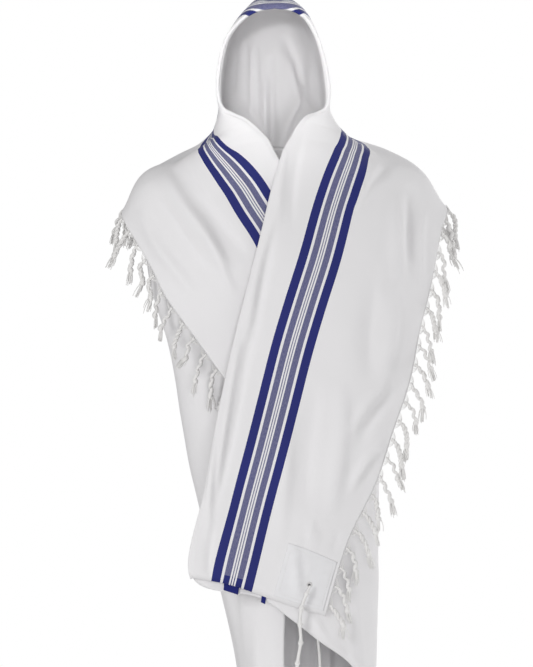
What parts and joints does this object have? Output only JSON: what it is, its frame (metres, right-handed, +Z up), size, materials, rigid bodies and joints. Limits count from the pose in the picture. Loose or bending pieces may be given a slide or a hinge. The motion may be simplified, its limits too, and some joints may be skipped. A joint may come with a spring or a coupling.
{
  "type": "tallit prayer shawl",
  "caption": "Striped wool prayer shawl worn over the head as an open hood, its front edges crossed and folded outward, with fringed edges, corner patches and knotted corner tassels.",
  "frame": {"origin": "the point on the crown of the wearer's head that holds the shawl up, on the inside of the hood's middle plane, level with the front of the hood's top", "axes": "+Z up the wearer, -Y the way the wearer faces, +X the side of the front whose edge lies on top"},
  "size_m": [0.5332, 0.2973, 1.6257],
  "materials": {
    "cloth": "white wool twill with a striped band of dark blue, white and heather grey",
    "fringe": "twisted and knotted white wool strands",
    "corner_patch": "smooth white sewn patch",
    "tassel": "white spun wool strands, wound and knotted"
  },
  "bodies": {
    "root": {"hood": "cloth", "cape_right_front": "cloth", "cape_back": "cloth", "cape_left_shoulder": "cloth", "cape_left_front": "cloth", "cape_left_skirt": "cloth", "flap_hood_right": "cloth", "fringe_hood_right": "fringe", "flap_right": "cloth", "fringe_right": "fringe", "patch_right_front": "corner_patch", "flap_hood_left": "cloth", "fringe_hood_left": "fringe", "flap_left": "cloth", "fringe_left": "fringe", "patch_left_front": "corner_patch", "fringe_hem": "fringe", "patch_right_hem": "corner_patch", "patch_left_hem": "corner_patch", "tzitzit_right_front": "tassel", "tzitzit_left_front": "tassel", "tzitzit_right_hem": "tassel", "tzitzit_left_hem": "tassel"}
  },
  "joints": []
}
